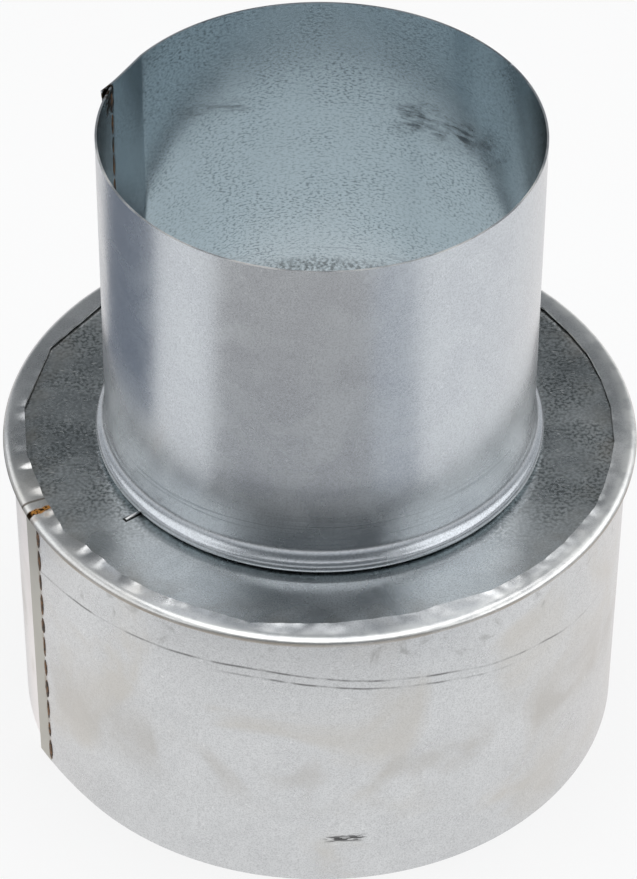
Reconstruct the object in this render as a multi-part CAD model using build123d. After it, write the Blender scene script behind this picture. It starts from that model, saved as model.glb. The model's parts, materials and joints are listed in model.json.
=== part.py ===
# Flue collar: a flue tube set through a ring plate, which closes the top of a wider drum.
# All three pieces are rolled, beaded and folded from thin galvanised sheet.
# Millimetres, +Z up, origin on the axis in the plane of the drum's open lower edge.

import os
from math import acos, asin, atan2, ceil, cos, degrees, radians, sin

from build123d import *

# Sheet and overall sizes, and the most that one flat of a bend turns and its least length
sheet = 0.6
flat_turn = 56.0
flat_length = 0.3
height = 204.0
tube_radius = 62.5
drum_radius = 90.0
drum_depth = 96.8

# Drum's rim: a ledge bent out of the wall, turned up round the plate and hemmed in over it
rim_overhang = 2.6
ledge_bend = 0.8
rim_bend = 0.9
hem_width = 6.8
hem_clearance = 0.4
hem_facets = 27
hem_unevenness = 0.7

# Puckers of the hem, where its shrinking edge buckles beside the drum's seam
pucker_count = 15
pucker_first_angle = 188.0
pucker_spacing = 6.5
pucker_width = 2.8
pucker_height = 0.45
pucker_sink = 0.2

# Ring plate
plate_clearance = 0.2
hole_clearance = 0.4
ring_mark_width = 2.0
ring_mark_height = 0.2
nib_angle = 216.7
nib_length = 5.6
nib_width = 1.5
nib_height = 0.7
nib_gap = 2.4

# Tube's bead above the plate and flange under it
bead_projection = 3.0
bead_flare_radius = 4.5
bead_nose_radius = 2.2
bead_heel_radius = 0.5
flange_width = 5.5

# Lap seams: angles where the outer end leaves the circle, where it stops, and where the end
# under it stops. Each lap is notched short of the bead or rim, so that those are rolled in one layer.
tube_lap_leaves = 141.5
tube_lap_outer_end = 165.0
tube_lap_inner_end = 161.0
drum_lap_leaves = 222.0
drum_lap_outer_end = 204.5
drum_lap_inner_end = 212.5
weld_bite = 0.1
lap_notch = 0.5

# Levels and radii that follow
plate_under = drum_depth + sheet
plate_top = plate_under + sheet
hem_under = plate_top + hem_clearance
hem_top = hem_under + sheet
rim_radius = drum_radius + rim_overhang
hem_radius = rim_radius - hem_width
plate_radius = rim_radius - rim_bend - plate_clearance
hole_radius = tube_radius + hole_clearance
flange_radius = tube_radius + flange_width

# Turns of the bead's three tangent arcs, and the heights they take up
flare_span = bead_flare_radius + bead_nose_radius
heel_span = bead_heel_radius + bead_nose_radius
flare_turn = degrees(acos((flare_span - bead_projection) / flare_span))
heel_turn = degrees(acos((heel_span - bead_projection) / heel_span))
bead_top = plate_top + heel_span * sin(radians(heel_turn)) + flare_span * sin(radians(flare_turn))


def polar(radius, angle):
    """Point in plan at a radius and an angle in degrees."""
    return (radius * cos(radians(angle)), radius * sin(radians(angle)))


def flattened(line):
    """Section line with each of its bends drawn as a few short flats."""
    flats = []
    for edge in line:
        turn = (edge % 0).get_angle(edge % 1)
        count = max(1, min(ceil(turn / flat_turn), int(edge.length / flat_length)))
        flats += [Line(edge @ (number / count), edge @ ((number + 1) / count)) for number in range(count)]
    return flats


def sheet_section(outside, inside):
    """Face of sheet between two section lines, each a list of edges in (radius, height)."""
    outside = flattened(outside)
    inside = flattened(inside)
    first = Line(outside[0] @ 0, inside[0] @ 0)
    last = Line(outside[-1] @ 1, inside[-1] @ 1)
    return Plane.XZ * make_face(Curve() + outside + inside + [first, last])


def wall_section(radius, low, high):
    """Upright strip of sheet in section, its outer face at a radius."""
    return Plane.XZ * Pos(radius - sheet / 2, (low + high) / 2) * Rectangle(sheet, high - low)


def lapped_wall(radius, wall_span, lap_span, leaves, outer_end, inner_end):
    """Rolled wall whose outer end leaves the circle, laps over the other end and is welded there."""
    inside = radius - sheet
    bitten = radius - weld_bite
    under = abs(inner_end - leaves)
    free = abs(outer_end - leaves)
    shift = (bitten**2 - inside**2) / (2 * (inside - bitten * cos(radians(under))))
    free_turn = free - degrees(asin(shift * sin(radians(free)) / (inside + shift)))
    lap_turn = 1 if outer_end > leaves else -1
    round_start = inner_end if outer_end > leaves else leaves
    round_part = revolve(wall_section(radius, *wall_span), Axis.Z, 360 - under)
    lap_part = revolve(wall_section(radius, *lap_span), Axis((-shift, 0, 0), (0, 0, lap_turn)), free_turn)
    return Rot(Z=round_start) * round_part + Rot(Z=leaves) * lap_part


def tube_line(depth):
    """Section line of the tube's base, from above the bead to the flange, at a depth in the sheet."""
    radius = tube_radius - depth
    flare = JernArc((radius, bead_top), (0, -1), bead_flare_radius + depth, flare_turn)
    nose = JernArc(flare @ 1, flare % 1, bead_nose_radius - depth, -flare_turn - heel_turn)
    heel = JernArc(nose @ 1, nose % 1, bead_heel_radius + depth, heel_turn)
    neck = Line(heel @ 1, (radius, plate_under - depth))
    flange = Line(neck @ 1, (flange_radius, plate_under - depth))
    return [flare, nose, heel, neck, flange]


def drum_line(depth, hem_end):
    """Section line of the drum's rim, from the wall to the hem's edge, at a depth in the sheet."""
    radius = drum_radius - depth
    root = JernArc((radius, drum_depth - ledge_bend), (0, 1), ledge_bend + depth, -90)
    ledge = Line(root @ 1, (rim_radius - rim_bend, drum_depth + depth))
    corner = JernArc(ledge @ 1, ledge % 1, rim_bend - depth, 90)
    land = Line(corner @ 1, (rim_radius - depth, hem_top - rim_bend))
    fold = JernArc(land @ 1, land % 1, rim_bend - depth, 90)
    hem = Line(fold @ 1, (hem_end, hem_top - depth))
    return [root, ledge, corner, land, fold, hem]


def flue_tube():
    """Rolled tube with a lap seam, a bead above the plate and a flange turned out under it."""
    base = revolve(sheet_section(tube_line(0), tube_line(sheet)), Axis.Z)
    lap_angles = (tube_lap_leaves, tube_lap_outer_end, tube_lap_inner_end)
    return base + lapped_wall(tube_radius, (bead_top, height), (bead_top + lap_notch, height), *lap_angles)


def ring_plate():
    """Flat ring with a faint raised line over the flange's edge and one small pressed nib."""
    middle = (plate_under + plate_top) / 2
    plate = Pos(Z=middle) * (Cylinder(plate_radius, sheet) - Cylinder(hole_radius, sheet))
    mark_inside = (flange_radius - ring_mark_width / 2, plate_top)
    mark_outside = (flange_radius + ring_mark_width / 2, plate_top)
    mark_crown = (flange_radius, plate_top + ring_mark_height)
    mark = make_face(Polyline(mark_inside, mark_crown, mark_outside, close=True))
    plate += revolve(Plane.XZ * mark, Axis.Z)
    nib = extrude(Rectangle(nib_length, nib_width), nib_height + sheet / 2)
    nib_middle = tube_radius + nib_gap + nib_length / 2
    return plate + Rot(Z=nib_angle) * Pos(nib_middle, 0, middle) * nib


def hem_edge(number):
    """Corner of the hem's uneven inner edge."""
    wander = hem_unevenness * (sin(1.7 * number) + sin(2.9 * number)) / 2
    return polar(hem_radius + wander, 360 * number / hem_facets)


def pucker(number, reach):
    """Creased ridge across the hem, highest at its inner edge and sunk into it short of the rim's fold."""
    run = rim_radius - rim_bend - reach
    slope = degrees(atan2(pucker_height + pucker_sink, run))
    angle = pucker_first_angle + pucker_spacing * (number + 0.3 * sin(2.3 * number))
    foot = pucker_height + sheet / 2
    crease = Polyline((0, 0), (foot, pucker_width / 2), (foot, -pucker_width / 2), close=True)
    ridge = Rot(Y=90 + slope) * extrude(make_face(crease), run)
    return Rot(Z=angle) * Pos(reach, 0, hem_top + pucker_height) * ridge


def drum_shell():
    """Rolled drum with a lap seam, its top bent out, up round the plate and in over it as a hem."""
    reach = hem_radius - 2 * hem_unevenness
    rim = revolve(sheet_section(drum_line(0, reach), drum_line(sheet, reach)), Axis.Z)
    band_depth = sheet / 2 + 2 * pucker_height
    band = Cylinder(rim_radius - rim_bend, band_depth, align=(Align.CENTER, Align.CENTER, Align.MIN))
    puckers = Part() + [pucker(number, reach) for number in range(pucker_count)]
    rim += puckers & Pos(Z=hem_top - sheet / 2) * band
    edge = make_face(Polyline([hem_edge(number) for number in range(hem_facets)], close=True))
    rim -= Pos(Z=hem_under - hem_clearance / 2) * extrude(edge, hem_clearance + sheet + pucker_height)
    head = drum_depth - ledge_bend
    lap_angles = (drum_lap_leaves, drum_lap_outer_end, drum_lap_inner_end)
    return rim + lapped_wall(drum_radius, (0, head), (0, head - lap_notch), *lap_angles)


os.makedirs("parts", exist_ok=True)
export_step(flue_tube(), "parts/flue_tube.step")
export_step(ring_plate(), "parts/ring_plate.step")
export_step(drum_shell(), "parts/drum_shell.step")
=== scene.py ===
import json
from math import acos, asin, atan2, ceil, cos, pi, radians, sin

import bmesh
import bpy
from mathutils import Matrix, Vector, noise


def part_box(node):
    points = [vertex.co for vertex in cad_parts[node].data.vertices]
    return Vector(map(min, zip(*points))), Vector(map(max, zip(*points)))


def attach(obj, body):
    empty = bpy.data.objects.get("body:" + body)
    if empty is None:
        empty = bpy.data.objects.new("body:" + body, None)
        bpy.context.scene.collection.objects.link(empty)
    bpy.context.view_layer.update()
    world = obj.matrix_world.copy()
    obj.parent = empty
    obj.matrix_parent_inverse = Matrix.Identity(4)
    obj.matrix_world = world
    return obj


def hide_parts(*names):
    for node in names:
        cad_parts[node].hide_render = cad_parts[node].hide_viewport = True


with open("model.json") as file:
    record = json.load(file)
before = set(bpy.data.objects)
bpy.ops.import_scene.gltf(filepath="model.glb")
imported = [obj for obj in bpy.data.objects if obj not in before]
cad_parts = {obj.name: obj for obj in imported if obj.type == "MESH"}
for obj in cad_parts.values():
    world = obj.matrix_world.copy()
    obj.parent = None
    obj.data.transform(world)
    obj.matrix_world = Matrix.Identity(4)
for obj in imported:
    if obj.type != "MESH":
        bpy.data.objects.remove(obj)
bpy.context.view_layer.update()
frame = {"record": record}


# Flue tube: one rolled galvanised sheet, lapped and spot welded along its left side.
# A bead is rolled out of it just above the plate, and its end is turned out under the plate.

mm = 0.001
sheet = 0.6 * mm
mounts = {mount["name"]: mount for mount in frame["record"]["mounts"]}
tube_radius = mounts["tube_socket"]["dims"]["r_mm"] * mm + sheet
tube_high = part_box("flue_tube")[1]
plate_low, plate_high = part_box("ring_plate")
plate_under = plate_low.z
plate_top = plate_under + sheet
flange_radius = tube_high.x

bead_projection = 3.0 * mm
bead_flare_radius = 4.5 * mm
bead_nose_radius = 2.2 * mm
bead_heel_radius = 0.5 * mm
neck_bend = 0.3 * mm
flare_span = bead_flare_radius + bead_nose_radius
heel_span = bead_heel_radius + bead_nose_radius
flare_turn = acos((flare_span - bead_projection) / flare_span)
heel_turn = acos((heel_span - bead_projection) / heel_span)
nose_height = plate_top + heel_span * sin(heel_turn)
nose_middle = tube_radius + bead_projection - bead_nose_radius
bead_top = nose_height + flare_span * sin(flare_turn)
lap_notch = 0.5 * mm
weld_bite = 0.1 * mm

tube_step = radians(1.5)
tube_lap_kink = radians(146.0)
tube_lap_outer_end = radians(164.0)
tube_lap_inner_end = radians(161.0)
tube_lap_runs = 12
tube_lap_curl = 0.3 * mm
tube_lap_curl_depth = 9 * mm
tube_lap_dip = 0.2
tube_rises = 14
tube_wave_size = 45 * mm
tube_wave_depth = 0.05 * mm
tube_taper = 0.005


def run(section, tip, radius, height):
    """Draws a section on in a straight line, in the plane of the axis."""
    tip = bmesh.ops.extrude_vert_indiv(section, verts=[tip])["verts"][0]
    tip.co = (radius, 0, height)
    return tip


def turn(section, tip, radius, height, angle, steps):
    """Draws a section on round a centre, clockwise where the angle is positive."""
    arc = bmesh.ops.spin(
        section, geom=[tip], cent=(radius, 0, height), axis=(0, 1, 0), angle=angle, steps=steps
    )
    return next(part for part in arc["geom_last"] if isinstance(part, bmesh.types.BMVert))


def spun_ring(section, start, step):
    """Turns a section right round the axis: one sector first, then its copies."""
    sectors = 12
    sector = 2 * pi / sectors
    bmesh.ops.rotate(section, verts=section.verts, cent=(0, 0, 0), matrix=Matrix.Rotation(start, 3, "Z"))
    bmesh.ops.spin(
        section,
        geom=section.verts[:] + section.edges[:],
        cent=(0, 0, 0),
        axis=(0, 0, 1),
        angle=sector,
        steps=round(sector / step),
    )
    bmesh.ops.spin(
        section,
        geom=section.verts[:] + section.edges[:] + section.faces[:],
        cent=(0, 0, 0),
        axis=(0, 0, 1),
        angle=2 * pi - sector,
        steps=sectors - 1,
        use_duplicate=True,
    )
    bmesh.ops.remove_doubles(section, verts=section.verts, dist=sheet / 1000)


def angle_from(start, x, y):
    """Angle of a point in plan, counted on from a start angle."""
    return (atan2(y, x) - start) % (2 * pi)


def drawn_on(shape, edges, move):
    """Draws a run of edges on by a move, and gives the new edges."""
    made = bmesh.ops.extrude_edge_only(shape, edges=edges)["geom"]
    verts = [part for part in made if isinstance(part, bmesh.types.BMVert)]
    bmesh.ops.translate(shape, verts=verts, vec=move)
    ends = set(verts)
    return [
        part for part in made
        if isinstance(part, bmesh.types.BMEdge) and part.verts[0] in ends and part.verts[1] in ends
    ]


def narrowing(height):
    """Share of its radius that the tube keeps at a height: it narrows a little towards its open end."""
    return 1 - tube_taper * max(0, height - bead_top) / (tube_high.z - bead_top)


def polar(radius, angle, height=0.0):
    """Point at a radius, an angle and a height."""
    return Vector((radius * cos(angle), radius * sin(angle), height))


def open_wall(shape, radius, ring_height, top, leaves, inner_end, rises):
    """Draws a rolled wall up or down from a ring, open where its ends lap. Gives its outer end's edges."""
    gap_start = min(leaves, inner_end)
    gap = abs(inner_end - leaves)
    way = 1 if top > ring_height else -1
    wall = [
        edge for edge in shape.edges
        if all(abs(vert.co.z - ring_height) < sheet / 100 for vert in edge.verts)
        and angle_from(gap_start, *(edge.verts[0].co + edge.verts[1].co).xy) > gap
    ]
    wall = drawn_on(shape, wall, (0, 0, way * lap_notch))
    rise = (top - ring_height - way * lap_notch) / rises
    for number in range(rises):
        wall = drawn_on(shape, wall, (0, 0, rise))
    column = polar(radius, leaves)
    return [
        edge for edge in shape.edges
        if all((vert.co.xy - column.xy).length < sheet / 10 for vert in edge.verts)
        and min((vert.co.z - ring_height) * way for vert in edge.verts) > lap_notch / 2
    ]


def waviness(shape, size, depth):
    """Lets a rolled sheet wander in and out a little, as hand rolling leaves it."""
    for vert in shape.verts:
        away = Vector((vert.co.x, vert.co.y, 0)).normalized()
        vert.co += away * depth * noise.noise(vert.co / size)


def sheet_piece(name, shape, node, material, thickness=sheet):
    """Gives a drawn skin its thickness inwards, if it has one, shades it and sets it in for its node."""
    bmesh.ops.recalc_face_normals(shape, faces=shape.faces)
    if thickness:
        bmesh.ops.solidify(shape, geom=shape.faces[:], thickness=thickness)
    sharp = radians(38)
    for face in shape.faces:
        face.smooth = True
    for edge in shape.edges:
        edge.smooth = edge.calc_face_angle(0) < sharp
    mesh = bpy.data.meshes.new(name)
    shape.to_mesh(mesh)
    shape.free()
    mesh.materials.append(material)
    piece = bpy.data.objects.new(name, mesh)
    bpy.context.scene.collection.objects.link(piece)
    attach(piece, "root")
    if node:
        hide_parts(node)
    return piece


def add(tree, kind, **settings):
    """New node with its settings."""
    node = tree.nodes.new(kind)
    for setting, value in settings.items():
        setattr(node, setting, value)
    return node


def cloud(tree, vector, size, detail=3.0, distortion=0.0):
    """Noise of a given size in metres."""
    texture = add(tree, "ShaderNodeTexNoise")
    tree.links.new(vector, texture.inputs["Vector"])
    texture.inputs["Scale"].default_value = 1 / size
    texture.inputs["Detail"].default_value = detail
    texture.inputs["Distortion"].default_value = distortion
    return texture.outputs["Fac"]


def stepped(tree, value, low, high, start=0.0, end=1.0):
    """Value eased from start to end as it goes from low to high."""
    ease = add(tree, "ShaderNodeMapRange", interpolation_type="SMOOTHSTEP")
    tree.links.new(value, ease.inputs["Value"])
    ease.inputs["From Min"].default_value = low
    ease.inputs["From Max"].default_value = high
    ease.inputs["To Min"].default_value = start
    ease.inputs["To Max"].default_value = end
    return ease.outputs["Result"]


def worked(tree, operation, first, second=None):
    """One sum with two values, where each is a socket or a plain number."""
    node = add(tree, "ShaderNodeMath", operation=operation)
    for socket, value in zip(node.inputs, (first, second)):
        if isinstance(value, bpy.types.NodeSocket):
            tree.links.new(value, socket)
        elif value is not None:
            socket.default_value = value
    return node.outputs["Value"]


def tinted(tree, amount, under, over):
    """Colour that goes from under to over by an amount, where each is a socket or a plain colour."""
    mix = add(tree, "ShaderNodeMix", data_type="RGBA")
    tree.links.new(amount, mix.inputs["Factor"])
    for socket, colour in ((mix.inputs[6], under), (mix.inputs[7], over)):
        if isinstance(colour, bpy.types.NodeSocket):
            tree.links.new(colour, socket)
        else:
            socket.default_value = (*colour, 1)
    return mix.outputs[2]


def turned(tree, place, angle):
    """Place as seen from an angle: outwards, round anticlockwise, and up."""
    mapping = add(tree, "ShaderNodeMapping")
    mapping.inputs["Rotation"].default_value[2] = -angle
    tree.links.new(place, mapping.inputs["Vector"])
    axes = add(tree, "ShaderNodeSeparateXYZ")
    tree.links.new(mapping.outputs["Vector"], axes.inputs["Vector"])
    return axes.outputs


def window(tree, value, low, high, soft):
    """One between two values and nought outside them, with soft ends."""
    rise = stepped(tree, value, low - soft, low + soft)
    fall = stepped(tree, value, high - soft, high + soft, 1.0, 0.0)
    return worked(tree, "MULTIPLY", rise, fall)


def together(tree, *masks):
    """Share of a place that lies in every mask."""
    share = masks[0]
    for mask in masks[1:]:
        share = worked(tree, "MULTIPLY", share, mask)
    return share


def facing_in(tree, place):
    """One on faces that look towards the axis."""
    across = add(tree, "ShaderNodeVectorMath", operation="DOT_PRODUCT")
    tree.links.new(add(tree, "ShaderNodeNewGeometry").outputs["True Normal"], across.inputs[0])
    tree.links.new(place, across.inputs[1])
    return worked(tree, "LESS_THAN", across.outputs["Value"], 0.0)


def this_side(tree, outwards):
    """One on the side of the axis that an angle looks at, and nought on the far side."""
    return stepped(tree, outwards, 0, 1 * mm)


def streaks(tree, along, across, length, width):
    """Noise drawn out along one direction."""
    grid = add(tree, "ShaderNodeCombineXYZ")
    tree.links.new(worked(tree, "DIVIDE", along, length), grid.inputs["X"])
    tree.links.new(worked(tree, "DIVIDE", across, width), grid.inputs["Y"])
    return cloud(tree, grid.outputs["Vector"], 1.0, 5.0, 0.3)


def zinc(name, light, dark, grain, grain_depth, speckle, mottle, roughness, stains):
    """Galvanised sheet: cloudy tone, dark grain and mottling, bright flecks and an uneven gloss."""
    material = bpy.data.materials.new(name)
    material.use_nodes = True
    tree = material.node_tree
    shader = tree.nodes["Principled BSDF"]
    place = add(tree, "ShaderNodeTexCoord").outputs["Object"]
    fine = cloud(tree, place, grain, 4.0)
    cloudy = cloud(tree, place, 18 * mm, 5.0, 0.6)
    colour = tinted(tree, stepped(tree, cloudy, 0.3, 0.7), dark, light)
    blotches = stepped(tree, cloud(tree, place, 1.8 * mm, 5.0, 0.4), 0.58, 0.40, 0.0, mottle)
    colour = tinted(tree, blotches, colour, [0.4 * tone for tone in dark])
    specks = stepped(tree, fine, 0.58, 0.34, 0.0, speckle)
    colour = tinted(tree, specks, colour, [0.35 * tone for tone in dark])
    flecks = stepped(tree, cloud(tree, place, 0.9 * mm, 3.0, 0.5), 0.64, 0.74, 0.0, mottle + speckle)
    colour = tinted(tree, flecks, colour, [min(0.95, 1.35 * tone) for tone in light])
    gloss = stepped(tree, cloudy, 0.25, 0.75, roughness - 0.04, roughness + 0.04)
    for stain, tone, dulling in stains:
        mask = stain(tree, place)
        colour = tinted(tree, mask, colour, tone)
        gloss = worked(tree, "ADD", gloss, worked(tree, "MULTIPLY", mask, dulling))
    tree.links.new(colour, shader.inputs["Base Color"])
    tree.links.new(gloss, shader.inputs["Roughness"])
    shader.inputs["Metallic"].default_value = 1.0
    shader.inputs["Specular Tint"].default_value = (1.0, 0.97, 0.95, 1)
    bump = add(tree, "ShaderNodeBump")
    bump.inputs["Strength"].default_value = 1.0
    bump.inputs["Distance"].default_value = grain_depth
    tree.links.new(fine, bump.inputs["Height"])
    tree.links.new(bump.outputs["Normal"], shader.inputs["Normal"])
    return material


def burnt_corner(tree, place):
    """Scorched top corner of the tube's outer end, with bare metal showing through."""
    outwards, around, up = turned(tree, place, tube_lap_outer_end)
    ragged = worked(tree, "MULTIPLY", cloud(tree, place, 3 * mm), 8 * mm)
    top = stepped(tree, worked(tree, "ADD", up, ragged), tube_high.z - 4 * mm, tube_high.z - 2 * mm)
    bare = stepped(tree, cloud(tree, place, 1.3 * mm, 4.0), 0.60, 0.52)
    across = window(tree, around, -4 * mm, 3 * mm, 1 * mm)
    return together(tree, top, bare, across, this_side(tree, outwards))


def round_wall(tree, place):
    """Distance round a tube's wall from its right side, and height."""
    outwards, around, up = turned(tree, place, 0)
    return worked(tree, "MULTIPLY", worked(tree, "ARCTAN2", around, outwards), tube_radius), up


def inner_film(tree, place):
    """Bluish film of oxide on the inside of the tube."""
    return worked(tree, "MULTIPLY", facing_in(tree, place), 0.75)


def inner_grain(tree, place):
    """Fine dark grain on the inside of the tube, drawn out a little by the rolls."""
    along, up = round_wall(tree, place)
    marks = stepped(tree, streaks(tree, along, up, 1.1 * mm, 0.55 * mm), 0.47, 0.66, 0.0, 0.8)
    patches = stepped(tree, cloud(tree, place, 16 * mm, 4.0), 0.35, 0.65, 0.45, 1.0)
    return together(tree, marks, patches, facing_in(tree, place))


def groove_grime(tree, place):
    """Dark grime over the groove that the bead makes inside the tube."""
    up = turned(tree, place, 0)[2]
    patches = stepped(tree, cloud(tree, place, 1.1 * mm, 5.0), 0.36, 0.66, 0.0, 0.7)
    level = window(tree, up, bead_top - 1.3 * mm, bead_top + 4.7 * mm, 2 * mm)
    return together(tree, level, patches, facing_in(tree, place))


def bead_marks(tree, place):
    """Fine lines that the rolls of the bead left round the foot of the tube."""
    along, up = round_wall(tree, place)
    lines = stepped(tree, streaks(tree, along, up, 40 * mm, 0.9 * mm), 0.52, 0.66, 0.0, 0.55)
    return together(tree, lines, window(tree, up, bead_top + 1.7 * mm, bead_top + 10.7 * mm, 5 * mm))


def lap_dark_reflection(tree, place):
    """Painted dark reflection on the flat of the lap, inside the tube: the flat is coloured darker for what
    it mirrors.
    """
    outwards, around, up = turned(tree, place, (tube_lap_kink + tube_lap_inner_end) / 2)
    flat = window(tree, around, -8.0 * mm, 8.4 * mm, 0.3 * mm)
    near = this_side(tree, outwards)
    return together(tree, flat, near, worked(tree, "MULTIPLY", facing_in(tree, place), 0.55))


def rubbed_arc(tree, place):
    """Dark level rub on the inside of the tube's right wall, where a pipe was pushed in."""
    outwards, around, up = turned(tree, place, radians(54))
    level = worked(tree, "ADD", up, worked(tree, "MULTIPLY", around, 0.06))
    band = window(tree, level, tube_high.z - 40 * mm, tube_high.z - 32 * mm, 6 * mm)
    marks = stepped(tree, streaks(tree, around, level, 5 * mm, 1.3 * mm), 0.36, 0.60, 0.25, 1.0)
    smoke = stepped(tree, cloud(tree, place, 8 * mm, 5.0), 0.36, 0.60, 0.25, 1.0)
    reach = window(tree, around, -21 * mm, 18 * mm, 9 * mm)
    near = this_side(tree, outwards)
    return together(tree, band, marks, smoke, reach, near, facing_in(tree, place))


def rubbed_streak(tree, place):
    """Fainter rub at the same level on the inside of the tube's back wall."""
    outwards, around, up = turned(tree, place, radians(124))
    level = worked(tree, "SUBTRACT", up, worked(tree, "MULTIPLY", around, 0.22))
    band = window(tree, level, tube_high.z - 32 * mm, tube_high.z - 29 * mm, 3 * mm)
    marks = stepped(tree, streaks(tree, around, level, 8 * mm, 1.3 * mm), 0.42, 0.64, 0.1, 0.7)
    reach = window(tree, around, -14 * mm, 10 * mm, 6 * mm)
    near = this_side(tree, outwards)
    return together(tree, band, marks, reach, near, facing_in(tree, place))


def worn_rim(tree, place):
    """Bright cut edge of the tube's mouth, rubbed at the front."""
    outwards, around, up = turned(tree, place, 0)
    edge = stepped(tree, up, tube_high.z - 0.12 * mm, tube_high.z - 0.04 * mm)
    front = stepped(tree, around, 20 * mm, -25 * mm, 0.1, 0.8)
    patches = stepped(tree, cloud(tree, place, 9 * mm, 5.0), 0.36, 0.62, 0.25, 1.0)
    return together(tree, edge, front, patches)


tube_stains = [
    (inner_film, (0.53, 0.61, 0.65), -0.11),
    (inner_grain, (0.20, 0.24, 0.26), 0.05),
    # Painted dark reflection on the flat of the lap, inside the tube
    (lap_dark_reflection, (0.22, 0.28, 0.32), 0.0),
    (groove_grime, (0.12, 0.13, 0.13), 0.10),
    (bead_marks, (0.30, 0.33, 0.36), 0.05),
    (rubbed_arc, (0.06, 0.07, 0.08), 0.12),
    (rubbed_streak, (0.12, 0.13, 0.14), 0.12),
    (worn_rim, (0.80, 0.79, 0.77), 0.25),
    (burnt_corner, (0.025, 0.018, 0.012), 0.3),
]
tube_zinc = zinc(
    "tube_zinc",
    light=(0.64, 0.675, 0.71),
    dark=(0.585, 0.615, 0.655),
    grain=0.45 * mm,
    grain_depth=0.006 * mm,
    speckle=0.26,
    mottle=0.05,
    roughness=0.27,
    stains=tube_stains,
)

tube = bmesh.new()
tip = tube.verts.new((tube_radius, 0, bead_top))
tip = turn(tube, tip, tube_radius + bead_flare_radius, bead_top, -flare_turn, 8)
tip = turn(tube, tip, nose_middle, nose_height, flare_turn + heel_turn, 16)
tip = turn(tube, tip, tube_radius + bead_heel_radius, plate_top, -heel_turn, 6)
tip = run(tube, tip, tube_radius, plate_under + neck_bend)
tip = turn(tube, tip, tube_radius + neck_bend, plate_under + neck_bend, -pi / 2, 4)
run(tube, tip, flange_radius, plate_under)
spun_ring(tube, tube_lap_inner_end, tube_step)
lap_end = open_wall(
    tube, tube_radius, bead_top, tube_high.z, tube_lap_kink, tube_lap_inner_end, tube_rises
)
over_inner_end = polar(tube_radius + sheet - weld_bite, tube_lap_inner_end)
lap_reach = over_inner_end - polar(tube_radius, tube_lap_kink)
lap_reach *= (tube_lap_outer_end - tube_lap_kink) / (tube_lap_inner_end - tube_lap_kink)
for number in range(tube_lap_runs):
    lap_end = drawn_on(tube, lap_end, lap_reach / tube_lap_runs)
    curl = tube_lap_curl * ((number + 1) / tube_lap_runs) ** 4
    for vert in {vert for edge in lap_end for vert in edge.verts}:
        upper = max(0, 1 - (tube_high.z - vert.co.z) / tube_lap_curl_depth)
        vert.co += polar(curl * upper, tube_lap_outer_end, -tube_lap_dip * curl * upper)
waviness(tube, tube_wave_size, tube_wave_depth)
for vert in tube.verts:
    vert.co.xy *= narrowing(vert.co.z)
sheet_piece("tube", tube, "flue_tube", tube_zinc)


# Tube's welds: a row of spot welds down the inside of the lap, burnt brown through the zinc.
# Each is a low lens of oxide on the inner sheet, close to its cut end.

weld_rise = 0.22 * mm
weld_raggedness = 0.12 * mm
weld_top_gap = 5 * mm
tube_weld_length = 6.6 * mm
tube_weld_width = 1.3 * mm
tube_weld_pitch = 7.2 * mm
tube_weld_foot_gap = 6 * mm
tube_weld_angle = radians(162.4)


def weld_oxide(name, burnt, rust):
    """Dull brown oxide, patchy with rust."""
    material = bpy.data.materials.new(name)
    material.use_nodes = True
    tree = material.node_tree
    shader = tree.nodes["Principled BSDF"]
    place = add(tree, "ShaderNodeTexCoord").outputs["Object"]
    patches = stepped(tree, cloud(tree, place, 1.6 * mm, 5.0), 0.42, 0.62)
    tree.links.new(tinted(tree, patches, burnt, rust), shader.inputs["Base Color"])
    shader.inputs["Roughness"].default_value = 0.6
    shader.inputs["Metallic"].default_value = 0.4
    return material


def weld_row(name, places, angle, weld_length, weld_width, material):
    """Row of spot welds, each a low ragged lens standing upright at a place on a sheet."""
    row = bmesh.new()
    for number, place in enumerate(places):
        lens = bmesh.ops.create_uvsphere(row, u_segments=10, v_segments=8, radius=0.5)["verts"]
        length = weld_length * (1 + 0.16 * sin(2.7 * number))
        width = weld_width * (1 + 0.25 * sin(1.9 * number + 1))
        bmesh.ops.scale(row, verts=lens, vec=(2 * weld_rise, width, length))
        bmesh.ops.rotate(row, verts=lens, cent=(0, 0, 0), matrix=Matrix.Rotation(angle, 3, "Z"))
        bmesh.ops.translate(row, verts=lens, vec=place)
    for vert in row.verts:
        vert.co += weld_raggedness * noise.noise_vector(vert.co / mm)
    sheet_piece(name, row, None, material, thickness=0)


tube_oxide = weld_oxide("tube_oxide", (0.03, 0.025, 0.022), (0.16, 0.085, 0.04))
tube_weld_count = int((tube_high.z - bead_top - tube_weld_foot_gap) / tube_weld_pitch)
tube_weld_top = tube_high.z - weld_top_gap
tube_weld_heights = [tube_weld_top - number * tube_weld_pitch for number in range(tube_weld_count)]
tube_weld_places = [
    polar((tube_radius - sheet) * narrowing(height), tube_weld_angle, height)
    for height in tube_weld_heights
]
weld_row(
    "tube_welds",
    tube_weld_places,
    tube_weld_angle,
    tube_weld_length,
    tube_weld_width,
    tube_oxide,
)


# Ring plate: a flat galvanised ring, gripped between the tube's bead and flange.
# Its outer edge lies in the drum's rim, and a raised line runs over the edge of the flange.

hole_clearance = 0.4 * mm
ring_mark_width = 2.0 * mm
ring_mark_height = 0.04 * mm
ring_mark_points = 8
plate_radius = plate_high.x
hole_radius = tube_radius + hole_clearance
plate_runs = 10
plate_step = radians(1.0)
plate_dishing = 0.10 * mm
dishing_size = 24 * mm
nib_angle = radians(218.0)
nib_gap = 2.1 * mm
nib_start = tube_radius + nib_gap
nib_length = 4.8 * mm
slit_width = 1.8 * mm


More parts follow.
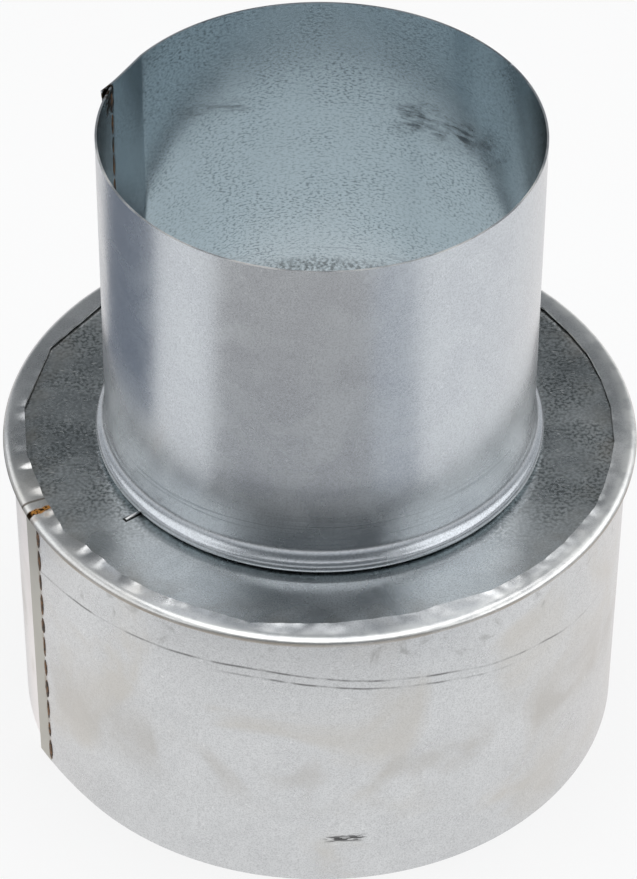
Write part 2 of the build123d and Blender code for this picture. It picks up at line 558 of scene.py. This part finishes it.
def from_axis(tree, place):
    """Distance of a place from the axis."""
    level = add(tree, "ShaderNodeMapping")
    level.inputs["Scale"].default_value = (1, 1, 0)
    tree.links.new(place, level.inputs["Vector"])
    length = add(tree, "ShaderNodeVectorMath", operation="LENGTH")
    tree.links.new(level.outputs["Vector"], length.inputs[0])
    return length.outputs["Value"]


def rim_grime(tree, place):
    """Brown grime that collects beside the hem."""
    patches = stepped(tree, cloud(tree, place, 9 * mm, 5.0), 0.4, 0.7, 0.1, 0.6)
    beside_hem = stepped(tree, from_axis(tree, place), plate_radius - 17.5 * mm, plate_radius - 3.5 * mm)
    return together(tree, beside_hem, patches)


def beside_tube(tree, place):
    """One on the plate's sides and back, and nought in front of the tube."""
    return stepped(tree, turned(tree, place, 0)[1], -62 * mm, -30 * mm)


def side_mottle(tree, place):
    """Dark mottling of the plate's zinc, beside and behind the tube."""
    specks = stepped(tree, cloud(tree, place, 1.0 * mm, 5.0), 0.44, 0.60, 0.0, 0.85)
    patches = stepped(tree, cloud(tree, place, 11 * mm, 4.0), 0.35, 0.62, 0.35, 1.0)
    return together(tree, specks, patches, beside_tube(tree, place))


def side_scratches(tree, place):
    """Short bright scratches beside and behind the tube."""
    outwards, around, up = turned(tree, place, 0)
    marks = stepped(tree, streaks(tree, outwards, around, 1.9 * mm, 0.5 * mm), 0.60, 0.70, 0.0, 0.7)
    return together(tree, marks, beside_tube(tree, place))


def nib_slit_shadow(tree, place):
    """Painted shadow of the slit round the nib: the plate is not cut, and the dark colour stands in for the
    gap.
    """
    outwards, around, up = turned(tree, place, nib_angle)
    reach = window(tree, outwards, nib_start - 0.6 * mm, nib_start + nib_length + 0.5 * mm, 0.15 * mm)
    return together(tree, reach, window(tree, around, -slit_width / 2, slit_width / 2, 0.15 * mm))


plate_stains = [
    (side_mottle, (0.15, 0.17, 0.17), 0.0),
    (side_scratches, (0.90, 0.90, 0.88), 0.10),
    (rim_grime, (0.27, 0.25, 0.22), 0.10),
    # Painted shadow of the slit round the nib
    (nib_slit_shadow, (0.006, 0.006, 0.006), 0.4),
]
plate_zinc = zinc(
    "plate_zinc",
    light=(0.68, 0.71, 0.72),
    dark=(0.54, 0.57, 0.58),
    grain=0.5 * mm,
    grain_depth=0.008 * mm,
    speckle=0.35,
    mottle=0.08,
    roughness=0.27,
    stains=plate_stains,
)

plate = bmesh.new()
tip = plate.verts.new((hole_radius, 0, plate_top))
for number in range(ring_mark_points + 1):
    across = number / ring_mark_points
    crown = plate_top + ring_mark_height * sin(pi * across) ** 2
    tip = run(plate, tip, flange_radius + ring_mark_width * (across - 0.5), crown)
mark_end = flange_radius + ring_mark_width / 2
for number in range(1, plate_runs + 1):
    tip = run(plate, tip, mark_end + (plate_radius - mark_end) * number / plate_runs, plate_top)
spun_ring(plate, 0, plate_step)
for vert in plate.verts:
    free = sin(pi * max(0, (vert.co.xy.length - mark_end) / (plate_radius - mark_end)))
    vert.co.z += plate_dishing * free * noise.noise(vert.co / dishing_size)
sheet_piece("plate", plate, "ring_plate", plate_zinc)


# Nib: a small tongue of the plate, cut on three sides beside the bead and pressed up.
# It stays joined to the plate at its outer end, and its back is coloured lighter than the plate as a
# painted highlight.

nib_width = 0.93 * mm
nib_rounding = 0.3 * mm
nib_tilt = Matrix.Rotation(radians(6), 3, "Y")
# Lighter zinc for the nib: a painted highlight
nib_highlight_zinc = zinc(
    "nib_highlight_zinc",
    light=(0.80, 0.80, 0.79),
    dark=(0.70, 0.70, 0.69),
    grain=0.6 * mm,
    grain_depth=0.005 * mm,
    speckle=0.1,
    mottle=0.0,
    roughness=0.28,
    stains=[],
)

nib = bmesh.new()
corners = bmesh.ops.create_cube(nib, size=1)["verts"]
bmesh.ops.scale(nib, verts=corners, vec=(nib_length, nib_width, sheet))
nib_edges = [edge for edge in nib.edges if edge.verts[0].co.z > 0 and edge.verts[1].co.z > 0]
bmesh.ops.bevel(
    nib, geom=nib_edges, offset=nib_rounding, segments=4, profile=0.5, affect="EDGES", material=-1
)
bmesh.ops.rotate(nib, verts=nib.verts, cent=(nib_length / 2, 0, 0), matrix=nib_tilt)
bmesh.ops.translate(nib, verts=nib.verts, vec=(nib_start + nib_length / 2, 0, plate_top + sheet / 4))
bmesh.ops.rotate(nib, verts=nib.verts, cent=(0, 0, 0), matrix=Matrix.Rotation(nib_angle, 3, "Z"))
sheet_piece("nib", nib, None, nib_highlight_zinc, thickness=0)


# Drum: a wider rolled galvanised sheet, lapped and spot welded down its left side.
# Its top is bent out as a ledge, turned up round the plate and hammered in over it as a hem.

drum_radius = mounts["drum_socket"]["dims"]["r_mm"] * mm + sheet
drum_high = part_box("drum_shell")[1]
drum_depth = plate_under - sheet
rim_radius = drum_high.x
ledge_bend = 0.8 * mm
rim_bend = 0.7 * mm
fold_width = 2.6 * mm
fold_height = 1.4 * mm
fold_points = 10
hem_width = 6.8 * mm
hem_clearance = 0.4 * mm
hem_runs = 10
crumple_size = 3.4 * mm
crumple_depth = 0.22 * mm
crease_bend = 1.15
hem_top = plate_top + hem_clearance + sheet
hem_radius = rim_radius - hem_width
fold_end = rim_radius - fold_width
drum_head = drum_depth - ledge_bend
drum_step = radians(0.5)
drum_lap_leaves = radians(222.0)
drum_lap_outer_end = radians(204.5)
drum_lap_inner_end = radians(212.5)
drum_rises = 14
rust_angle = radians(207.0)
drum_weld_angle = radians(208.6)

# Corners of the hem's cut edge, as angle and radius, and its creases, as angle and lift, in degrees and mm
hem_corners = [
    (6, 85.9), (14, 85.8), (22, 86.0), (30, 85.7), (38, 85.9), (46, 85.8), (54, 86.0), (62, 85.8),
    (72, 85.9), (84, 85.6), (96, 85.7), (110, 85.9), (122, 86.1), (142, 85.4), (158, 87.3), (177, 87.0),
    (191, 86.2), (203, 85.7), (214, 86.8), (220, 85.4), (226, 85.4), (234, 86.4), (242, 86.4), (258, 87.1),
    (262, 86.7), (273, 85.8), (289, 85.5), (297, 84.9), (304, 86.6), (311, 86.3), (317, 86.6), (323, 86.6),
    (329, 86.3), (335, 86.9), (341, 86.3), (348, 86.0), (355, 86.1),
]
hem_creases = [
    (12, 0.25), (60, 0.30), (110, 0.20), (142, 0.30), (158, 0.10), (172, 0.15), (175, 0.50), (177, 0.10),
    (178.5, 0.50), (181, -0.15), (185, -0.05), (188, 0.25), (190, -0.20), (191, 0.20), (194, 0.75),
    (195, 0.05), (197, 0.10), (201, 0.65), (203, -0.05), (206, 0.10), (208, 0.60), (209.5, 0.10),
    (212, 0.7), (214.5, -0.15), (217.5, -0.05), (220.5, 0.7), (222, 0.0), (225.5, 0.75), (227, 0.1),
    (231, 0.0), (234, 0.75), (237, 0.25), (242, 0.6), (248, 0.3), (258, 0.05), (262, 0.7), (268, 0.5),
    (273, 0.75), (281, 0.35), (289, 0.55), (294, 0.8), (298, 0.4), (304, 0.75), (310, 0.4), (323, 0.45),
    (333, 0.35), (335, 0.65), (337, 0.35), (355, 0.35),
]


def beside(points, angle):
    """The two points on either side of an angle, in a ring of points."""
    first_angle, first_value = points[0]
    angle = first_angle + (angle - first_angle) % 360
    ring = points + [(first_angle + 360, first_value)]
    before, after = next(pair for pair in zip(ring, ring[1:]) if angle < pair[1][0])
    return before, after, angle


def hem_edge(angle):
    """Radius of the hem's cut edge, straight between its corners."""
    (first, first_radius), (last, last_radius), angle = beside(hem_corners, angle)
    span = radians(last - first)
    gone = radians(angle - first)
    across = first_radius * sin(gone) + last_radius * sin(span - gone)
    return first_radius * last_radius * sin(span) / across * mm


def hem_lift(angle):
    """Height of the hem's cut edge over its flat, straight between its creases."""
    (first, low), (last, high), angle = beside(hem_creases, angle)
    return (low + (high - low) * (angle - first) / (last - first)) * mm


def on_wall(tree, up):
    """One on the drum's wall and nought on its rim."""
    return stepped(tree, up, drum_head, drum_head - 1 * mm)


def on_hem(tree, up):
    """One on the drum's hem and nought below it."""
    return stepped(tree, up, plate_top, plate_top + hem_clearance)


def rust_band(tree, place):
    """Rust across the hem, over the weld of the drum's seam."""
    outwards, around, up = turned(tree, place, rust_angle)
    ragged = worked(tree, "ADD", around, worked(tree, "MULTIPLY", cloud(tree, place, 1.5 * mm), 1.6 * mm))
    across = window(tree, ragged, -0.2 * mm, 1.9 * mm, 0.35 * mm)
    return together(tree, across, on_hem(tree, up), this_side(tree, outwards))


def rust_streaks(tree, place):
    """Dark streaks in that rust, and the burnt notch at its outer end."""
    outwards, around, up = turned(tree, place, rust_angle)
    dark = stepped(tree, cloud(tree, place, 0.9 * mm, 3.0), 0.50, 0.60)
    across = window(tree, around, -1.0 * mm, 1.2 * mm, 0.3 * mm)
    outer_end = stepped(tree, outwards, rim_radius - 1.6 * mm, rim_radius - 0.6 * mm)
    upper = stepped(tree, up, drum_depth - 0.3 * mm, drum_depth + 0.2 * mm)
    notch = together(tree, across, outer_end, upper)
    return worked(tree, "MAXIMUM", together(tree, rust_band(tree, place), dark), notch)


def drum_film(tree, place):
    """Pale bluish film of oxide on the inside of the drum's wall."""
    up = turned(tree, place, 0)[2]
    return together(tree, facing_in(tree, place), on_wall(tree, up))


def bright_end_reflection(tree, place):
    """Painted brightening of the wall beside the drum's free edge, standing in for the bright floor it
    reflects there.
    """
    outwards, around, up = turned(tree, place, drum_lap_outer_end)
    band = together(tree, stepped(tree, around, -26 * mm, -6 * mm), stepped(tree, around, 0, -1 * mm))
    return together(tree, band, on_wall(tree, up), this_side(tree, outwards))


def hem_highlight_and_burnish(tree, place):
    """Painted highlight along the hem's fold, strongest at the fold and on the right, in patches; partly
    burnish from the hammer.
    """
    outwards, around, up = turned(tree, place, 0)
    fold = stepped(tree, from_axis(tree, place), fold_end - 2.5 * mm, fold_end + 0.8 * mm, 0.15, 1.0)
    patches = stepped(tree, cloud(tree, place, 4 * mm, 5.0), 0.35, 0.60, 0.5, 1.0)
    right = stepped(tree, outwards, -65 * mm, -15 * mm, 0.2, 1.0)
    return together(tree, fold, on_hem(tree, up), patches, right)


def seam_strip(tree, place):
    """Dull beige strip between the drum's free edge and its row of welds."""
    outwards, around, up = turned(tree, place, (drum_lap_outer_end + drum_weld_angle) / 2)
    strip = window(tree, around, -3.6 * mm, 3.4 * mm, 0.4 * mm)
    return together(tree, strip, on_wall(tree, up), this_side(tree, outwards))


def weld_bloom(tree, place):
    """Faint brown bloom along the drum's row of welds."""
    outwards, around, up = turned(tree, place, drum_weld_angle)
    patches = stepped(tree, cloud(tree, place, 3 * mm, 4.0), 0.4, 0.7, 0.0, 0.5)
    across = window(tree, around, -0.9 * mm, 0.9 * mm, 0.8 * mm)
    return together(tree, across, patches, this_side(tree, outwards))


def rolled_line(tree, place, level, reach):
    """Thin broken line that the rolls rubbed round the drum's wall, lower towards both sides."""
    outwards, around, up = turned(tree, place, radians(262))
    sag = worked(tree, "MULTIPLY", worked(tree, "MULTIPLY", around, around), 1.7)
    height = worked(tree, "ADD", worked(tree, "ADD", up, sag), worked(tree, "MULTIPLY", around, 0.05))
    height = worked(tree, "ADD", height, worked(tree, "MULTIPLY", cloud(tree, place, 30 * mm, 2.0), 3 * mm))
    line = window(tree, height, level - 0.3 * mm, level + 0.3 * mm, 0.3 * mm)
    breaks = stepped(tree, cloud(tree, place, 9 * mm, 6.0), 0.40, 0.60, 0.15, 0.9)
    across = window(tree, around, *reach, 10 * mm)
    return together(tree, line, breaks, across, this_side(tree, outwards))


def upper_line(tree, place):
    """Long line, most of the way across the front."""
    return rolled_line(tree, place, 85.0 * mm, (-70 * mm, 80 * mm))


def lower_line(tree, place):
    """Shorter line close under it on the right."""
    return rolled_line(tree, place, 82.0 * mm, (-10 * mm, 60 * mm))


def under_rim_shade(tree, place):
    """Painted tan shade and reflection in the corner under the rim, in patches."""
    up = turned(tree, place, 0)[2]
    patches = stepped(tree, cloud(tree, place, 14 * mm, 4.0), 0.3, 0.7, 0.35, 0.8)
    return together(tree, window(tree, up, drum_head - 1.4 * mm, drum_head + 2.2 * mm, 0.5 * mm), patches)


def handling_stains(tree, place):
    """Large faint beige stains on the drum's wall."""
    return stepped(tree, cloud(tree, place, 45 * mm, 4.0, 0.8), 0.52, 0.72, 0.0, 0.55)


def handled_band(tree, place):
    """Smoky band of handling round the lower half of the drum's wall."""
    up = turned(tree, place, 0)[2]
    patches = stepped(tree, cloud(tree, place, 22 * mm, 6.0, 0.5), 0.42, 0.66, 0.0, 0.75)
    return together(tree, window(tree, up, 36 * mm, 48 * mm, 14 * mm), patches)


def grey_rubs(tree, place):
    """Grey rubbed patches high on the drum's wall."""
    up = turned(tree, place, 0)[2]
    patches = stepped(tree, cloud(tree, place, 9 * mm, 6.0, 1.2), 0.56, 0.68, 0.0, 0.5)
    return together(tree, window(tree, up, 84 * mm, 95 * mm, 3 * mm), patches)


def low_scuff(tree, place):
    """Small dark scuff low on the drum's front."""
    outwards, around, up = turned(tree, place, radians(276))
    marks = stepped(tree, streaks(tree, around, up, 4 * mm, 0.8 * mm), 0.46, 0.54, 0.0, 0.9)
    across = window(tree, around, -6 * mm, 5 * mm, 2 * mm)
    level = window(tree, up, 16 * mm, 18.5 * mm, 1 * mm)
    return together(tree, across, level, marks, this_side(tree, outwards))


def lap_shadow(tree, place):
    """Painted shadow in the gap beside the drum's free edge."""
    outwards, around, up = turned(tree, place, drum_lap_outer_end)
    gap = window(tree, around, -0.9 * mm, -0.1 * mm, 0.2 * mm)
    return together(tree, gap, this_side(tree, outwards))


drum_stains = [
    # Painted reflection: brighter wall beside the drum's free edge
    (bright_end_reflection, (0.88, 0.85, 0.85), 0.05),
    (handling_stains, (0.58, 0.55, 0.50), 0.05),
    (handled_band, (0.47, 0.45, 0.42), 0.05),
    (grey_rubs, (0.33, 0.33, 0.32), 0.08),
    (upper_line, (0.16, 0.16, 0.16), 0.1),
    (lower_line, (0.16, 0.16, 0.16), 0.1),
    (low_scuff, (0.05, 0.05, 0.05), 0.2),
    # Painted shade and reflection under the rim
    (under_rim_shade, (0.34, 0.29, 0.23), 0.1),
    # Painted highlight along the hem's fold, partly burnish
    (hem_highlight_and_burnish, (0.93, 0.93, 0.91), 0.04),
    (seam_strip, (0.50, 0.49, 0.45), 0.12),
    # Painted shadow in the gap beside the drum's free edge
    (lap_shadow, (0.20, 0.18, 0.16), 0.2),
    (weld_bloom, (0.25, 0.16, 0.09), 0.2),
    (rust_band, (0.50, 0.24, 0.06), 0.3),
    (rust_streaks, (0.035, 0.020, 0.010), 0.4),
    (drum_film, (0.80, 0.87, 0.90), 0.10),
]
drum_zinc = zinc(
    "drum_zinc",
    light=(0.71, 0.72, 0.73),
    dark=(0.65, 0.66, 0.67),
    grain=0.45 * mm,
    grain_depth=0.004 * mm,
    speckle=0.28,
    mottle=0.06,
    roughness=0.30,
    stains=drum_stains,
)

drum = bmesh.new()
tip = drum.verts.new((drum_radius, 0, drum_head))
tip = turn(drum, tip, drum_radius + ledge_bend, drum_head, pi / 2, 5)
tip = run(drum, tip, rim_radius - rim_bend, drum_depth)
tip = turn(drum, tip, rim_radius - rim_bend, drum_depth + rim_bend, -pi / 2, 5)
tip = run(drum, tip, rim_radius, hem_top - fold_height)
for number in range(1, fold_points + 1):
    gone = pi / 2 * number / fold_points
    tip = run(drum, tip, fold_end + fold_width * cos(gone), hem_top - fold_height * (1 - sin(gone)))
for number in range(1, hem_runs + 1):
    tip = run(drum, tip, fold_end - (fold_end - hem_radius) * number / hem_runs, hem_top)
spun_ring(drum, drum_lap_inner_end, drum_step)
for vert in drum.verts:
    in_from_fold = fold_end - vert.co.xy.length
    if vert.co.z > hem_top - sheet / 10 and in_from_fold > sheet / 10:
        across = in_from_fold / (fold_end - hem_radius)
        angle = atan2(vert.co.y, vert.co.x)
        turn_degrees = angle * 180 / pi
        crumple = crumple_depth * noise.noise(vert.co / crumple_size) * across
        lift = hem_lift(turn_degrees) * across**crease_bend + crumple
        vert.co = polar(fold_end - across * (fold_end - hem_edge(turn_degrees)), angle, hem_top + lift)
lap_end = open_wall(
    drum, drum_radius, drum_head, 0, drum_lap_leaves, drum_lap_inner_end, drum_rises
)
drum_inside = drum_radius - sheet
drum_bitten = drum_radius - weld_bite
lap_gap = drum_lap_leaves - drum_lap_inner_end
lap_shift = (drum_bitten**2 - drum_inside**2) / (2 * (drum_inside - drum_bitten * cos(lap_gap)))
lap_free = drum_lap_leaves - drum_lap_outer_end
lap_turn = lap_free - asin(lap_shift * sin(lap_free) / (drum_inside + lap_shift))
lap_axis = polar(-lap_shift, drum_lap_leaves)
bmesh.ops.spin(
    drum,
    geom=list({vert for edge in lap_end for vert in edge.verts}) + lap_end,
    cent=lap_axis,
    axis=(0, 0, -1),
    angle=lap_turn,
    steps=ceil(lap_turn / drum_step),
)
sheet_piece("drum", drum, "drum_shell", drum_zinc)


# Drum's welds: a row of spot welds down the outside of the lap, from under the rim to the lower edge.
# The zinc is burnt off them, and they have rusted brown.

drum_weld_length = 7.4 * mm
drum_weld_width = 1.6 * mm
drum_weld_pitch = 8.6 * mm
drum_weld_count = int(drum_head / drum_weld_pitch)
lap_radius = drum_radius + lap_shift
weld_bearing = drum_weld_angle - drum_lap_leaves
weld_radius = (lap_radius**2 - (lap_shift * sin(weld_bearing)) ** 2) ** 0.5 - lap_shift * cos(weld_bearing)
drum_oxide = weld_oxide("drum_oxide", (0.055, 0.036, 0.024), (0.21, 0.105, 0.045))
drum_weld_places = [
    polar(weld_radius, drum_weld_angle, drum_head - weld_top_gap - number * drum_weld_pitch)
    for number in range(drum_weld_count)
]
weld_row(
    "drum_welds",
    drum_weld_places,
    drum_weld_angle,
    drum_weld_length,
    drum_weld_width,
    drum_oxide,
)


# Studio: a plain pale floor, on which the collar stands on the drum's open edge, and a dim grey room.
# Soft lamps hang above, in front and at both sides. Three grey cards show only as bands in the metal.

floor_reach = 4.0
card_reach = 0.60
card_height = 1 * mm
card_steps = 24
lamp_aim = Vector((0, 0, drum_depth))

floor_shape = bmesh.new()
bmesh.ops.create_grid(floor_shape, x_segments=1, y_segments=1, size=floor_reach)
floor_mesh = bpy.data.meshes.new("floor")
floor_shape.to_mesh(floor_mesh)
floor_shape.free()
floor_white = (1.0, 1.0, 1.0)
floor_paint = bpy.data.materials.new("floor_paint")
floor_paint.use_nodes = True
tree = floor_paint.node_tree
tree.nodes.remove(tree.nodes["Principled BSDF"])
matte = add(tree, "ShaderNodeBsdfDiffuse")
matte.inputs["Color"].default_value = (*floor_white, 1)
glow = add(tree, "ShaderNodeEmission")
glow.inputs["Strength"].default_value = 1.0
glow.inputs["Color"].default_value = (*floor_white, 1)
shown = add(tree, "ShaderNodeMixShader")
shown.inputs["Fac"].default_value = 0.8
tree.links.new(matte.outputs["BSDF"], shown.inputs[1])
tree.links.new(glow.outputs["Emission"], shown.inputs[2])
rays = add(tree, "ShaderNodeLightPath").outputs
seen = worked(tree, "MAXIMUM", rays["Is Camera Ray"], rays["Is Glossy Ray"])
seen = worked(tree, "MAXIMUM", seen, rays["Is Transmission Ray"])
floor_mix = add(tree, "ShaderNodeMixShader")
tree.links.new(seen, floor_mix.inputs["Fac"])
tree.links.new(matte.outputs["BSDF"], floor_mix.inputs[1])
tree.links.new(shown.outputs["Shader"], floor_mix.inputs[2])
tree.links.new(floor_mix.outputs["Shader"], tree.nodes["Material Output"].inputs["Surface"])
floor_mesh.materials.append(floor_paint)
floor = bpy.data.objects.new("floor", floor_mesh)
bpy.context.scene.collection.objects.link(floor)


def grey_card(name, inner, start, end, near, far):
    """Grey card lying on the floor, part of a ring between two angles, with its tone near and far."""
    sector = bmesh.new()
    tip = sector.verts.new((inner, 0, card_height))
    run(sector, tip, card_reach, card_height)
    first = Matrix.Rotation(radians(start), 3, "Z")
    bmesh.ops.rotate(sector, verts=sector.verts, cent=(0, 0, 0), matrix=first)
    bmesh.ops.spin(
        sector,
        geom=sector.verts[:] + sector.edges[:],
        cent=(0, 0, 0),
        axis=(0, 0, 1),
        angle=radians(end - start),
        steps=card_steps,
    )
    mesh = bpy.data.meshes.new(name)
    sector.to_mesh(mesh)
    sector.free()
    paint = bpy.data.materials.new(name)
    paint.use_nodes = True
    tree = paint.node_tree
    tree.nodes.remove(tree.nodes["Principled BSDF"])
    place = add(tree, "ShaderNodeTexCoord").outputs["Object"]
    shade = add(tree, "ShaderNodeEmission")
    tone = tinted(tree, stepped(tree, from_axis(tree, place), 0.20, 0.29), near, far)
    tree.links.new(tone, shade.inputs["Color"])
    tree.links.new(shade.outputs["Emission"], tree.nodes["Material Output"].inputs["Surface"])
    mesh.materials.append(paint)
    card = bpy.data.objects.new(name, mesh)
    card.visible_camera = False
    card.visible_diffuse = False
    card.visible_shadow = False
    bpy.context.scene.collection.objects.link(card)


grey_card("left_card", 0.17, 140, 186, near=(0.23, 0.26, 0.31), far=(0.23, 0.26, 0.31))
grey_card("front_card", 0.195, 221, 294, near=(0.31, 0.32, 0.34), far=(0.58, 0.57, 0.56))
grey_card("right_card", 0.195, 294, 316, near=(0.52, 0.55, 0.59), far=(0.61, 0.635, 0.67))

world = bpy.data.worlds.new("studio")
bpy.context.scene.world = world
world.use_nodes = True
air = world.node_tree
facing = add(air, "ShaderNodeSeparateXYZ")
air.links.new(add(air, "ShaderNodeTexCoord").outputs["Generated"], facing.inputs["Vector"])
room_low = (0.66, 0.68, 0.70)
room_high = (0.157, 0.17, 0.18)
room = tinted(air, stepped(air, facing.outputs["Z"], 0.10, 0.38), room_low, room_high)
air.links.new(room, air.nodes["Background"].inputs["Color"])
air.nodes["Background"].inputs["Strength"].default_value = 1.0


def softbox(name, azimuth, elevation, distance, width, height, power):
    """Soft lamp with a flat oblong face. Its azimuth is counted from the front towards the right."""
    lamp = bpy.data.lights.new(name, "AREA")
    lamp.shape = "RECTANGLE"
    lamp.size = width
    lamp.size_y = height
    lamp.energy = power
    box = bpy.data.objects.new(name, lamp)
    away = Vector((
        sin(radians(azimuth)) * cos(radians(elevation)),
        -cos(radians(azimuth)) * cos(radians(elevation)),
        sin(radians(elevation)),
    ))
    box.location = lamp_aim + away * distance
    box.rotation_euler = (-away).to_track_quat("-Z", "Y").to_euler()
    bpy.context.scene.collection.objects.link(box)


softbox("top_lamp", azimuth=180, elevation=85, distance=1.10, width=0.90, height=1.10, power=5.4)
softbox("front_lamp", azimuth=0, elevation=64, distance=0.95, width=0.60, height=0.20, power=0.4)
softbox("right_lamp", azimuth=92, elevation=40, distance=0.90, width=1.50, height=0.50, power=3.2)
softbox("left_lamp", azimuth=-92, elevation=40, distance=0.90, width=1.50, height=0.50, power=2.7)

camera_position = Vector((0.00655, -0.81138, 0.79993))
camera_pitch = radians(41.11)
camera_yaw = radians(-0.49)
camera_roll = radians(0.35)
camera_data = bpy.data.cameras.new("camera")
camera_data.sensor_fit = "VERTICAL"
camera_data.sensor_height = 36
camera_data.lens = 150.1
camera = bpy.data.objects.new("camera", camera_data)
camera.matrix_world = (
    Matrix.Translation(camera_position)
    @ Matrix.Rotation(-camera_yaw, 4, "Z")
    @ Matrix.Rotation(pi / 2 - camera_pitch, 4, "X")
    @ Matrix.Rotation(camera_roll, 4, "Z")
)
bpy.context.scene.collection.objects.link(camera)
bpy.context.scene.camera = camera
bpy.context.scene.view_settings.view_transform = "Standard"
